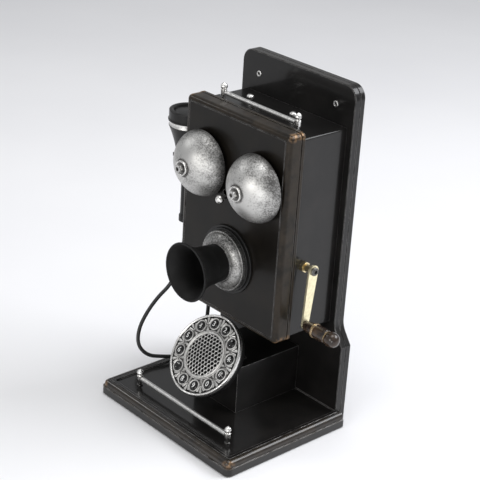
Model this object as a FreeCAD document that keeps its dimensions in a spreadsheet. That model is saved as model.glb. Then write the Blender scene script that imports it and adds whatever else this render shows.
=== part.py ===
import FreeCAD, Part
import Sketcher
import math
import os

from FreeCAD import Placement, Rotation, Vector

# A retro wall and table telephone: a backboard standing on a base, a box with a moulded front cover,
# two gongs, a horn mouthpiece, a hanging receiver on a corded hook, a push-button dial and a side crank.
# Frame: +Z up, -Y to the front, +X to the side of the crank. The origin is the middle of the underside,
# under the front face of the backboard. Lengths are millimetres.

DRIVING = {
    "base_width": 200.0, "base_front": 152.4, "base_rear": 3.0, "base_top": 15.8, "deck_top": 14.3,
    "deck_inset": 10.6, "felt_thick": 1.0, "plinth_top": 9.0,
    "board_width": 181.2, "board_neck": 156.4, "board_top": 353.9, "board_layer": 6.6,
    "flare_low": 87.2, "flare_high": 111.0, "board_round": 13.0, "eyelet_gap": 106.8, "eyelet_height": 331.9,
    "box_width": 141.2, "box_low": 109.0, "box_top": 313.0, "box_depth": 57.0, "box_wall": 2.6,
    "cover_width": 146.6, "cover_low": 106.5, "cover_top": 320.0, "cover_front": 76.2, "panel_margin": 5.2,
    "gong_offset": 38.85, "gong_height": 260.0, "gong_radius": 33.0, "gong_depth": 26.6, "gong_rim": 81.0,
    "gong_wall": 1.6, "gong_shoulder": 20.0,
    "clapper_height": 237.5, "clapper_pivot": 44.0, "clapper_reach": 91.5,
    "horn_height": 171.0, "horn_mouth": 130.8, "horn_radius": 29.5, "horn_neck": 18.4, "horn_wall": 1.8,
    "crank_back": 43.5, "crank_height": 182.0, "crank_throw": 56.2, "crank_lean": 5.3, "grip_end": 121.5,
    "receiver_side": 99.0, "receiver_back": 48.5, "receiver_top": 291.0, "receiver_radius": 21.5,
    "receiver_end": 169.0, "hook_height": 243.0, "hook_pivot": 52.0,
    "post_rise": 18.5, "rod_rise": 8.5, "rod_radius": 2.3, "top_rail": 52.0, "top_rail_back": 47.0,
    "base_rail": 68.5, "base_rail_back": 126.0,
    "block_width": 63.5, "block_front": 83.2, "block_top": 64.9,
    "dial_back": 100.0, "dial_height": 72.0, "dial_tilt": 52.0, "dial_radius": 42.3, "key_circle": 32.5,
    "key_radius": 4.7, "key_travel": 1.5, "cord_radius": 2.0, "gland_side": 60.0, "gland_back": 45.0,
}

doc = FreeCAD.newDocument("telephone")
sheet = doc.addObject("Spreadsheet::Sheet", "sizes")
for row, (alias, number) in enumerate(DRIVING.items(), start=1):
    sheet.set(f"A{row}", alias)
    sheet.set(f"B{row}", str(number))
    sheet.setAlias(f"B{row}", alias)
doc.recompute()


class Size:
    """A length known both as a number and as the spreadsheet expression that it comes from."""

    def __init__(self, value, text):
        self.value = value
        self.text = text

    def __add__(self, other):
        other = as_size(other)
        return Size(self.value + other.value, f"({self.text} + {other.text})")

    def __sub__(self, other):
        other = as_size(other)
        return Size(self.value - other.value, f"({self.text} - {other.text})")

    def __mul__(self, other):
        other = as_size(other)
        return Size(self.value * other.value, f"({self.text} * {other.text})")

    def __truediv__(self, other):
        other = as_size(other)
        return Size(self.value / other.value, f"({self.text} / {other.text})")

    def __neg__(self):
        return Size(-self.value, f"(-1 * {self.text})")

    def __rsub__(self, other):
        return as_size(other) - self

    __radd__ = __add__
    __rmul__ = __mul__


def as_size(quantity):
    return quantity if isinstance(quantity, Size) else Size(float(quantity), f"({float(quantity)!r})")


def root(quantity):
    return Size(math.sqrt(quantity.value), f"sqrt({quantity.text})")


def cell(alias):
    return Size(DRIVING[alias], f"sizes.{alias}")


def place(item, position, rotation=None):
    """Puts an object at a position bound to the sheet, after any turn."""
    item.Placement = Placement(Vector(*[as_size(p).value for p in position]), rotation or Rotation())
    for axis, coordinate in zip("xyz", position):
        item.setExpression(f"Placement.Base.{axis}", as_size(coordinate).text)
    return item


TO_FRONT = Rotation(Vector(1, 0, 0), 90)
TO_RIGHT = Rotation(Vector(0, 1, 0), 90)


def new_body(label):
    item = doc.addObject("PartDesign::Body", label)
    item.Label = label
    return item


def sketch_on(item, role, level=0):
    """An empty sketch on one of the body's origin planes, raised by level along the plane's normal."""
    sketch = item.newObject("Sketcher::SketchObject", item.Label + "_sketch")
    plane = next(feature for feature in item.Origin.OriginFeatures if feature.Role == role)
    sketch.AttachmentSupport = [(plane, "")]
    sketch.MapMode = "FlatFace"
    sketch.AttachmentOffset = Placement(Vector(0, 0, as_size(level).value), Rotation())
    sketch.setExpression("AttachmentOffset.Base.z", as_size(level).text)
    return sketch


def pin_point(sketch, geometry, end, x, y):
    """Fixes one end of a sketch edge at x, y measured from the sketch's origin."""
    for kind, quantity, axis in (("DistanceX", as_size(x), -2), ("DistanceY", as_size(y), -1)):
        if abs(quantity.value) < 1e-9:
            sketch.addConstraint(Sketcher.Constraint("PointOnObject", geometry, end, axis))
            continue
        index = sketch.addConstraint(Sketcher.Constraint(kind, -1, 1, geometry, end, quantity.value))
        sketch.setExpression(f"Constraints[{index}]", quantity.text)


def outline(sketch, points):
    """Closes a loop through points (x, y), or (x, y, bulge) for an arc that reaches that point.

    The bulge is the tangent of a quarter of the arc's turn, positive when it bends to the left.
    """
    first = sketch.GeometryCount
    count = len(points)
    for index in range(count):
        start = points[index - 1]
        end = points[index]
        a = Vector(as_size(start[0]).value, as_size(start[1]).value, 0)
        b = Vector(as_size(end[0]).value, as_size(end[1]).value, 0)
        if len(end) == 2:
            geometry = sketch.addGeometry(Part.LineSegment(a, b), False)
            continue
        bulge = end[2]
        chord = b - a
        middle = (a + b) * 0.5 + Vector(chord.y, -chord.x, 0) * (0.5 * bulge)
        geometry = sketch.addGeometry(Part.Arc(a, middle, b), False)
        dx = as_size(end[0]) - start[0]
        dy = as_size(end[1]) - start[1]
        radius = root(dx * dx + dy * dy) * ((1 + bulge * bulge) / (4 * abs(bulge)))
        rule = sketch.addConstraint(Sketcher.Constraint("Radius", geometry, radius.value))
        sketch.setExpression(f"Constraints[{rule}]", radius.text)
    for index in range(count):
        this = first + index
        following = first + (index + 1) % count
        bulges = [len(points[index]) == 3 and points[index][2] < 0,
                  len(points[(index + 1) % count]) == 3 and points[(index + 1) % count][2] < 0]
        end = 1 if bulges[0] else 2
        begin = 2 if bulges[1] else 1
        sketch.addConstraint(Sketcher.Constraint("Coincident", this, end, following, begin))
        pin_point(sketch, this, end, points[index][0], points[index][1])


def circle(sketch, x, y, radius):
    centre = Vector(as_size(x).value, as_size(y).value, 0)
    geometry = sketch.addGeometry(Part.Circle(centre, Vector(0, 0, 1), as_size(radius).value), False)
    rule = sketch.addConstraint(Sketcher.Constraint("Radius", geometry, as_size(radius).value))
    sketch.setExpression(f"Constraints[{rule}]", as_size(radius).text)
    pin_point(sketch, geometry, 3, x, y)


CORNER_BULGE = math.tan(math.pi / 8)
APEX = 0.4  # radius of the small flat at the tip of a turned dome
END_BULGE = 0.98  # a rounded end, a hair short of a half circle


def round_rectangle(sketch, left, low, right, high, radius):
    outline(sketch, [
        (right - radius, low), (right, low + radius, CORNER_BULGE),
        (right, high - radius), (right - radius, high, CORNER_BULGE),
        (left + radius, high), (left, high - radius, CORNER_BULGE),
        (left, low + radius), (left + radius, low, CORNER_BULGE)])


def pad(item, sketch, length):
    feature = item.newObject("PartDesign::Pad", item.Label + "_pad")
    feature.Profile = sketch
    feature.Length = as_size(length).value
    feature.setExpression("Length", as_size(length).text)
    doc.recompute()
    return feature


def pocket(item, sketch, length, reverse=False):
    """Cuts the sketch into the body and makes sure that the cut removed something."""
    before = item.Shape.Volume
    feature = item.newObject("PartDesign::Pocket", item.Label + "_pocket")
    feature.Profile = sketch
    feature.Length = as_size(length).value
    feature.setExpression("Length", as_size(length).text)
    feature.Reversed = reverse
    doc.recompute()
    if item.Shape.Volume > before - 0.01:
        raise RuntimeError(f"a pocket in {item.Label} removed nothing")
    return feature


def fillet(item, radius, chosen):
    """Rounds the edges of the body's last feature whose middle point passes the test chosen."""
    tip = item.Tip
    names = [f"Edge{n}" for n, edge in enumerate(tip.Shape.Edges, start=1) if chosen(edge.CenterOfMass)]
    feature = item.newObject("PartDesign::Fillet", item.Label + "_fillet")
    feature.Base = (tip, names)
    feature.Radius = as_size(radius).value
    feature.setExpression("Radius", as_size(radius).text)
    doc.recompute()
    return feature


def turned(label, points, position=(0, 0, 0), rotation=None):
    """A body turned about its own Z axis from a profile of (radius, height) points."""
    item = new_body(label)
    sketch = sketch_on(item, "XZ_Plane")
    outline(sketch, points)
    feature = item.newObject("PartDesign::Revolution", label + "_turn")
    feature.Profile = sketch
    feature.ReferenceAxis = (sketch, ["V_Axis"])
    feature.Angle = 360.0
    doc.recompute()
    return place(item, position, rotation)


def rod(label, radius, length, position, rotation=None, bore=0.0):
    """A straight round bar along its own Z axis, with an optional bore."""
    inner = as_size(bore)
    if inner.value:
        section = [(inner, 0), (radius, 0), (radius, length), (inner, length)]
        return turned(label, section, position, rotation)
    return turned(label, [(0, 0), (radius, 0), (radius, length), (0, length)], position, rotation)


def box(label, low, high):
    item = doc.addObject("Part::Box", label)
    item.Label = label
    for side, start, end in zip(("Length", "Width", "Height"), low, high):
        span = as_size(end) - start
        setattr(item, side, span.value)
        item.setExpression(side, span.text)
    return place(item, low)


def joined(label, items):
    item = doc.addObject("Part::MultiFuse", label)
    item.Label = label
    item.Shapes = items
    doc.recompute()
    return item


def cut(label, base, tool):
    item = doc.addObject("Part::Cut", label)
    item.Label = label
    item.Base = base
    item.Tool = tool
    doc.recompute()
    return item


def group(label, items):
    item = doc.addObject("Part::Compound", label)
    item.Label = label
    item.Links = items
    doc.recompute()
    return item


nodes = []


def node(item):
    """Marks an object as one of the telephone's pieces, which is written to its own file."""
    nodes.append(item)
    return item


# ---------------------------------------------------------------- base, felt and backboard

HALF_BASE = cell("base_width") / 2
HALF_BOARD = cell("board_width") / 2
HALF_NECK = cell("board_neck") / 2
BASE_CORNER = 6.0
STEP_IN = 1.1
OVOLO = 4.6
LIP = 2.2
EYELET_BORE = 1.6
EYELET_HOLE = 2.2
SCREW_HOLE = 2.0
SCREW_HEAD = 3.6
BOARD_CHAMFER = 0.7
FLARE_BULGE = 0.155
BOX_SCREW_SIDE = 50.0
BOX_SCREW_HEIGHTS = (130.0, 290.0)


def base_outline(sketch, inset):
    """The base's plan: round front corners and square rear ones, shrunk by inset except at the rear."""
    side = HALF_BASE - inset
    front = -cell("base_front") + inset
    rear = cell("base_rear")
    outline(sketch, [
        (side - BASE_CORNER, front), (side, front + BASE_CORNER, CORNER_BULGE), (side, rear), (-side, rear),
        (-side, front + BASE_CORNER), (-side + BASE_CORNER, front, CORNER_BULGE)])


def make_base():
    item = new_body("base")
    plinth = sketch_on(item, "XY_Plane", cell("felt_thick"))
    base_outline(plinth, 0)
    pad(item, plinth, cell("plinth_top") - cell("felt_thick"))
    moulding = sketch_on(item, "XY_Plane", cell("plinth_top"))
    base_outline(moulding, STEP_IN)
    pad(item, moulding, cell("base_top") - cell("plinth_top"))
    top = DRIVING["base_top"]
    rear = DRIVING["base_rear"]
    fillet(item, OVOLO, lambda p: abs(p.z - top) < 0.01 and p.y < rear - 1)
    groove = sketch_on(item, "XY_Plane", cell("base_top"))
    outer = STEP_IN + OVOLO + 0.5
    inner = outer + 1.0
    front = -cell("base_front")
    outline(groove, [
        (outer - HALF_BASE, 0), (outer - HALF_BASE, front + outer), (HALF_BASE - outer, front + outer),
        (HALF_BASE - outer, 0), (HALF_BASE - inner, 0), (HALF_BASE - inner, front + inner),
        (inner - HALF_BASE, front + inner), (inner - HALF_BASE, 0)])
    pocket(item, groove, 1.2)
    deck = sketch_on(item, "XY_Plane", cell("base_top"))
    side = HALF_BASE - cell("deck_inset")
    round_rectangle(deck, -side, cell("deck_inset") - cell("base_front"), side, as_size(0), as_size(1.5))
    pocket(item, deck, cell("base_top") - cell("deck_top"))
    node(item)


def make_base_felt():
    margin = 3.0
    node(box("base_felt", (margin - HALF_BASE, margin - cell("base_front"), 0),
             (HALF_BASE - margin, cell("base_rear") - 1.0, cell("felt_thick"))))


def board_outline(sketch, shrink):
    """The backboard's front view: a wide foot, a curved flare and a narrower top with round corners."""
    foot = HALF_BOARD - shrink
    neck = HALF_NECK - shrink
    low = cell("flare_low")
    high = cell("flare_high")
    top = cell("board_top") - shrink
    bend = cell("board_round")
    knee = foot - (foot - neck) * 0.62
    knee_height = low + (high - low) * 0.46
    right = [(foot, cell("felt_thick")), (foot, low), (knee, knee_height), (neck, high, -FLARE_BULGE),
             (neck, top - bend), (neck - bend, top, CORNER_BULGE)]
    left = [(-(neck - bend), top), (-neck, top - bend, CORNER_BULGE), (-neck, high),
            (-knee, knee_height, -FLARE_BULGE), (-foot, low), (-foot, cell("felt_thick"))]
    outline(sketch, right + left)


def make_board(label, front, thick):
    """One layer of the backboard, from its front face back, with its outline chamfered."""
    item = new_body(label)
    sketch = sketch_on(item, "XZ_Plane", -(as_size(front) + thick))
    board_outline(sketch, 0)
    pad(item, sketch, thick)
    tip = item.Tip
    feature = item.newObject("PartDesign::Chamfer", label + "_chamfer")
    names = [f"Edge{n}" for n, edge in enumerate(tip.Shape.Edges, start=1)
             if edge.BoundBox.YLength < 0.01 and edge.CenterOfMass.z > 2]
    feature.Base = (tip, names)
    feature.Size = BOARD_CHAMFER
    doc.recompute()
    return item


def board_holes(item, front, thick, eyelet_radius):
    """Holes for the two wall eyelets and for the four screws that hold the box."""
    holes = sketch_on(item, "XZ_Plane", -(as_size(front) + thick))
    for side in (-1, 1):
        circle(holes, cell("eyelet_gap") * (0.5 * side), cell("eyelet_height"), eyelet_radius)
        for height in BOX_SCREW_HEIGHTS:
            circle(holes, BOX_SCREW_SIDE * side, height, SCREW_HOLE)
    pocket(item, holes, thick, reverse=True)


def make_boards():
    layer = cell("board_layer")
    front = make_board("backboard_front", 0, layer)
    board_holes(front, 0, layer, EYELET_HOLE)
    rebate = sketch_on(front, "YZ_Plane", -HALF_BOARD - 1)
    rear = cell("base_rear")
    outline(rebate, [(-1.0, 0), (rear, 0), (rear, cell("base_top")), (-1.0, cell("base_top"))])
    pocket(front, rebate, cell("board_width") + 2, reverse=True)
    node(front)
    back = make_board("backboard_rear", layer, layer)
    board_holes(back, layer, layer, EYELET_BORE)
    heads = sketch_on(back, "XZ_Plane", -(layer * 2))
    for side in (-1, 1):
        for height in BOX_SCREW_HEIGHTS:
            circle(heads, BOX_SCREW_SIDE * side, height, SCREW_HEAD + 0.2)
    pocket(back, heads, 2.6, reverse=True)
    node(back)


def make_eyelets():
    rim = 0.9
    profile = [(EYELET_BORE, -cell("board_layer")), (EYELET_HOLE - 0.05, -cell("board_layer")),
               (EYELET_HOLE - 0.05, 0), (3.1, 0), (3.1, rim * 0.4), (2.6, rim, 0.3),
               (EYELET_BORE + 0.3, rim), (EYELET_BORE, rim * 0.6)]
    items = [turned(f"eyelet_{name}", profile, (cell("eyelet_gap") * (0.5 * side), 0, cell("eyelet_height")),
                    TO_FRONT) for name, side in (("left", -1), ("right", 1))]
    node(group("eyelets", items))


def make_assembly_screws():
    """Countersunk screws from the back of the board into the box."""
    back = cell("board_layer") * 2
    profile = [(0, 0.2), (SCREW_HEAD, 0.2), (SCREW_HEAD, 0.9), (SCREW_HOLE - 0.2, 2.4),
               (SCREW_HOLE - 0.2, back + 5.0), (0, back + 6.2)]
    items = []
    for side in (-1, 1):
        for height in BOX_SCREW_HEIGHTS:
            items.append(turned(f"screw_{len(items) + 1}", profile, (BOX_SCREW_SIDE * side, back, height),
                                TO_FRONT))
    node(group("assembly_screws", items))


# ---------------------------------------------------------------- box and front cover

HALF_BOX = cell("box_width") / 2
HALF_COVER = cell("cover_width") / 2
JACK_BACK = 17.0
JACK_HEIGHT = 124.0
JACK_HALF = 7.0
BUSH_RADIUS = 4.0
SLOT_HALF = 4.1


def make_housing():
    """The box: open at the front, closed by the board behind, with holes for what passes its walls."""
    wall = cell("box_wall")
    item = new_body("housing")
    shell = sketch_on(item, "XZ_Plane")
    round_rectangle(shell, -HALF_BOX, cell("box_low"), HALF_BOX, cell("box_top"), as_size(2.0))
    pad(item, shell, cell("box_depth"))
    hollow = sketch_on(item, "XZ_Plane", wall)
    round_rectangle(hollow, wall - HALF_BOX, cell("box_low") + wall, HALF_BOX - wall, cell("box_top") - wall,
                    as_size(1.2))
    pocket(item, hollow, cell("box_depth") - wall, reverse=True)
    screws = sketch_on(item, "XZ_Plane")
    for side in (-1, 1):
        for height in BOX_SCREW_HEIGHTS:
            circle(screws, BOX_SCREW_SIDE * side, height, SCREW_HOLE)
    pocket(item, screws, wall, reverse=True)
    bush = sketch_on(item, "YZ_Plane", HALF_BOX)
    circle(bush, -cell("crank_back"), cell("crank_height"), BUSH_RADIUS + 0.1)
    pocket(item, bush, wall)
    openings = sketch_on(item, "YZ_Plane", -HALF_BOX)
    middle = -cell("receiver_back")
    slot_low = cell("hook_height") - 1.0
    slot_high = cell("hook_height") + 8.0
    outline(openings, [(middle - SLOT_HALF, slot_low), (middle + SLOT_HALF, slot_low),
                       (middle + SLOT_HALF, slot_high), (middle - SLOT_HALF, slot_high)])
    half = JACK_HALF + 0.1
    outline(openings, [(-JACK_BACK - half, JACK_HEIGHT - half), (half - JACK_BACK, JACK_HEIGHT - half),
                       (half - JACK_BACK, JACK_HEIGHT + half), (-JACK_BACK - half, JACK_HEIGHT + half)])
    pocket(item, openings, wall, reverse=True)
    gland = sketch_on(item, "XY_Plane", cell("box_low"))
    circle(gland, -cell("gland_side"), -cell("gland_back"), 3.6)
    pocket(item, gland, wall, reverse=True)
    node(item)


def cover_outline(sketch, inset, bend):
    round_rectangle(sketch, inset - HALF_COVER, cell("cover_low") + inset, HALF_COVER - inset,
                    cell("cover_top") - inset, as_size(bend))


def make_front_cover():
    """The moulded lid: a rear flange, a quirk, a rounded frame moulding and a flat panel."""
    item = new_body("front_cover")
    depth = cell("box_depth")
    flange = 3.2
    quirk = 1.2
    flange_sketch = sketch_on(item, "XZ_Plane", depth)
    cover_outline(flange_sketch, 0, 5.0)
    pad(item, flange_sketch, flange)
    quirk_sketch = sketch_on(item, "XZ_Plane", depth + flange)
    cover_outline(quirk_sketch, 1.4, 4.0)
    pad(item, quirk_sketch, quirk)
    face_sketch = sketch_on(item, "XZ_Plane", depth + flange + quirk)
    cover_outline(face_sketch, 0.3, 5.0)
    pad(item, face_sketch, cell("cover_front") - depth - flange - quirk)
    front = -DRIVING["cover_front"]
    fillet(item, 4.7, lambda p: abs(p.y - front) < 0.01)
    groove = sketch_on(item, "XZ_Plane", cell("cover_front"))
    cover_outline(groove, cell("panel_margin"), 3.0)
    cover_outline(groove, cell("panel_margin") + 0.9, 2.4)
    pocket(item, groove, 0.9)
    hollow = sketch_on(item, "XZ_Plane", depth)
    cover_outline(hollow, 5.5, 2.0)
    pocket(item, hollow, cell("cover_front") - depth - 2.6, reverse=True)
    slot = sketch_on(item, "XZ_Plane", cell("cover_front"))
    reach = as_size(13.0)
    half = 2.4
    height = cell("clapper_height")
    round_rectangle(slot, -reach, height - half, reach, height + half, as_size(2.3))
    for side in (-1, 1):
        circle(slot, cell("gong_offset") * side, cell("gong_height"), 2.6)
    circle(slot, 0, cell("horn_height"), 13.4)
    pocket(item, slot, 4.0)
    node(item)


# ---------------------------------------------------------------- gongs and ringer

def gong_profile():
    """A thin bell section: a wide crown arc meets a tighter shoulder arc that ends square to the rim."""
    radius = cell("gong_radius")
    depth = cell("gong_depth")
    shoulder = cell("gong_shoulder")
    wall = cell("gong_wall")
    reach = radius - shoulder
    crown = (reach * reach + depth * depth - shoulder * shoulder) / ((depth - shoulder) * 2)
    share_out = reach / (crown - shoulder)
    share_up = (crown - depth) / (crown - shoulder)
    bore = 2.3

    def edge(inward):
        out = crown - inward
        start_height = depth - crown + root(out * out - bore * bore)
        return (bore, start_height), (share_out * out, depth - crown + share_up * out)

    outer_top, outer_knee = edge(0)
    inner_top, inner_knee = edge(wall)

    def bulge(turn):
        return math.tan(turn / 4)

    shoulder_turn = math.asin(share_up.value)
    crown_turn = math.pi / 2 - shoulder_turn - math.asin(bore / crown.value)
    inner_turn = math.pi / 2 - shoulder_turn - math.asin(bore / (crown.value - wall.value))
    return [(radius - wall, 0, -bulge(shoulder_turn)), (radius, 0), (*outer_knee, bulge(shoulder_turn)),
            (*outer_top, bulge(crown_turn)), inner_top, (*inner_knee, -bulge(inner_turn))]


def gong_place(side, back):
    return (cell("gong_offset") * side, -as_size(back), cell("gong_height"))


def make_gongs():
    top = cell("gong_rim") + cell("gong_depth")
    posts = []
    washers = []
    nuts = []
    for name, side in (("left", -1), ("right", 1)):
        bell = turned(f"gong_{name}", gong_profile(), gong_place(side, cell("gong_rim")), TO_FRONT)
        node(bell)
        seat = cell("gong_depth") - cell("gong_wall") + cell("gong_rim") - cell("cover_front") - 0.2
        posts.append(turned(f"gong_post_{name}", [
            (0, -3.4), (2.4, -3.4), (2.4, 0), (6.0, 0), (6.0, 1.6), (3.4, 3.2), (3.4, seat), (2.0, seat),
            (2.0, seat + 5.2), (0, seat + 5.2)], gong_place(side, cell("cover_front")), TO_FRONT))
        washers.append(turned(f"gong_washer_{name}", [
            (2.1, -0.05), (2.6, -0.05), (7.6, -0.6), (7.6, 1.0), (7.0, 1.7, 0.4), (6.2, 1.1, 0.3),
            (5.4, 1.0), (2.1, 1.0)], gong_place(side, top), TO_FRONT))
        nut = new_body(f"gong_nut_{name}")
        hexagon = sketch_on(nut, "XY_Plane")
        corners = [(4.4 * math.cos(math.radians(60 * k)), 4.4 * math.sin(math.radians(60 * k)))
                   for k in range(6)]
        outline(hexagon, corners)
        circle(hexagon, 0, 0, 2.1)
        pad(nut, hexagon, 4.6)
        nuts.append(place(nut, gong_place(side, top + 1.0), TO_FRONT))
    node(group("gong_posts", posts))
    node(group("gong_washers", washers))
    node(group("gong_nuts", nuts))


COIL_SIDE = 11.5


def make_ringer():
    """Two coils on a frame, with an armature that rocks on an upright pin between their poles."""
    wall = cell("box_wall")
    height = cell("clapper_height")
    pivot = cell("clapper_pivot")
    back = -(wall + 2.2)
    plate = box("ringer_plate", (-24.0, back, height - 16.0), (24.0, -wall, height + 16.0))
    arms = [box(f"ringer_arm_{name}", (-4.0, -(pivot + 3.6), height + offset),
                (4.0, back, height + offset + 2.0)) for name, offset in (("low", -15.0), ("high", 13.0))]
    holes = rod("ringer_pin_hole", 1.05, 40.0, (0, -pivot, height - 20.0))
    node(cut("ringer_frame", joined("ringer_frame_body", [plate] + arms), holes))
    coils = []
    for name, side in (("left", -1), ("right", 1)):
        coils.append(turned(f"ringer_coil_{name}", [
            (0, 0), (9.0, 0), (9.0, 1.5), (8.3, 1.5), (8.3, 29.5), (9.0, 29.5), (9.0, 31.0), (3.0, 31.0),
            (3.0, 33.0), (0, 33.0)], (COIL_SIDE * side, back, height), TO_FRONT))
    node(group("ringer_coils", coils))
    bar = box("armature_bar", (-14.0, -(pivot + 1.3), height - 4.0), (14.0, -(pivot - 1.3), height + 4.0))
    boss = rod("armature_boss", 2.8, 24.0, (0, -pivot, height - 12.0))
    stem = rod("clapper_stem", 1.25, cell("clapper_reach") - pivot + 1.5, (0, -pivot, height), TO_FRONT)
    pin_hole = rod("armature_bore", 1.05, 40.0, (0, -pivot, height - 20.0))
    node(cut("clapper_armature", joined("clapper_armature_body", [bar, boss, stem]), pin_hole))
    node(turned("clapper_ball", [
        (0, 1.6), (1.3, 1.6), (1.3, -4.067), (4.27, 0, 0.326), (0, 4.27, CORNER_BULGE)],
        (0, -cell("clapper_reach"), height), TO_FRONT))


# ---------------------------------------------------------------- transmitter and horn

def make_transmitter():
    centre = (0, -cell("cover_front"), cell("horn_height"))
    node(turned("transmitter_base", [
        (11.8, -2.4), (13.3, -2.4), (13.3, 0), (34.8, 0), (34.8, 1.6), (34.2, 2.2, 0.4), (32.4, 2.2),
        (32.4, 3.8), (31.8, 4.4, 0.4), (18.0, 4.4), (16.6, 5.2), (16.6, 14.0), (14.6, 14.0), (14.6, 2.0),
        (11.8, 2.0)], centre, TO_FRONT))
    node(turned("transmitter_capsule", [
        (0, 2.0), (14.4, 2.0), (14.4, 8.6), (13.4, 9.6), (0, 9.6)], centre, TO_FRONT))
    node(turned("mouthpiece_ring", [
        (18.7, 4.4), (30.2, 4.4), (30.2, 7.4), (29.0, 8.4, 0.5), (28.2, 8.0), (27.6, 9.4),
        (20.8, 14.4, 0.18), (20.0, 14.2), (19.6, 15.2), (18.7, 15.2)], centre, TO_FRONT))
    length = cell("horn_mouth") - cell("cover_front")
    neck = cell("horn_neck")
    mouth = cell("horn_radius")
    wall = cell("horn_wall")
    node(turned("mouthpiece", [
        (neck - 1.6, 5.4), (neck, 5.4), (neck, 15.4), (neck + 1.2, length * 0.5),
        (mouth - 0.9, length - 2.4, -0.2), (mouth, length - 1.0, 0.3), (mouth - 1.0, length, 0.5),
        (mouth - wall - 0.8, length - 1.4, 0.3), (neck + 1.2 - wall, length * 0.5, 0.2),
        (neck - 1.6, 15.4)], centre, TO_FRONT))


# ---------------------------------------------------------------- crank

def make_crank():
    back = -cell("crank_back")
    height = cell("crank_height")
    side = HALF_BOX
    axle = (side, back, height)
    bush = rod("crank_bush_tube", BUSH_RADIUS, 9.0, (side - 5.0, back, height), TO_RIGHT)
    nut = new_body("crank_bush_nut")
    hexagon = sketch_on(nut, "XY_Plane")
    outline(hexagon, [(5.6 * math.cos(math.radians(60 * k)), 5.6 * math.sin(math.radians(60 * k)))
                      for k in range(6)])
    pad(nut, hexagon, 3.6)
    place(nut, axle, TO_RIGHT)
    bore = rod("crank_bush_bore", 2.56, 20.0, (side - 10.0, back, height), TO_RIGHT)
    node(cut("crank_bushing", joined("crank_bushing_body", [bush, nut]), bore))
    node(turned("crank_shaft", [
        (0, -8.6), (5.0, -8.6), (5.0, -6.0), (2.5, -6.0), (2.5, 4.4), (3.6, 5.0), (3.6, 12.4), (0, 12.4)],
        axle, TO_RIGHT))
    arm = new_body("crank_arm")
    plan = sketch_on(arm, "YZ_Plane")
    throw = cell("crank_throw")
    outline(plan, [(-4.1, -throw), (4.1, -throw, END_BULGE), (6.0, 0), (-6.0, 0, END_BULGE)])
    pad(arm, plan, 2.2)
    hole = sketch_on(arm, "YZ_Plane")
    circle(hole, 0, -throw, 1.85)
    pocket(arm, hole, 2.2, reverse=True)
    lean = Rotation(Vector(1, 0, 0), -DRIVING["crank_lean"])
    place(arm, (side + 12.4, back, height), lean)
    node(arm)
    node(turned("crank_screw", [
        (0, 0), (4.3, 0), (4.3, 1.2), (3.4, 2.6, 0.3), (2.0, 2.6), (2.0, 1.2), (0, 1.2)],
        (side + 14.6, back, height), TO_RIGHT))
    swing = Vector(0, -DRIVING["crank_throw"] * math.sin(math.radians(DRIVING["crank_lean"])),
                   -DRIVING["crank_throw"] * math.cos(math.radians(DRIVING["crank_lean"])))
    pin_back = Size(swing.y, "(-sizes.crank_throw * sin(sizes.crank_lean * 1deg))") - cell("crank_back")
    pin_height = Size(swing.z, "(-sizes.crank_throw * cos(sizes.crank_lean * 1deg))") + cell("crank_height")
    pin = (side + 12.4, pin_back, pin_height)
    node(turned("crank_pin", [
        (0, -1.2), (3.4, -1.2), (3.4, 0), (1.8, 0), (1.8, 36.0), (0, 36.0)], pin, TO_RIGHT))
    tip = cell("grip_end") - side - 12.4
    node(turned("crank_grip", [
        (1.86, 3.0), (4.8, 3.0), (5.1, 4.0), (5.8, 9.0), (6.2, 14.0), (7.3, 15.0, 0.3), (7.3, 16.2),
        (6.8, 17.2, 0.3), (7.0, 24.0, 0.04), (6.6, 30.4, 0.04), (6.0, 31.4), (6.0, 32.2),
        (7.4, tip, 0.2), (0, tip + 7.4, CORNER_BULGE), (0, 37.0), (1.86, 37.0)], pin, TO_RIGHT))


# ---------------------------------------------------------------- hook and receiver

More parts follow.
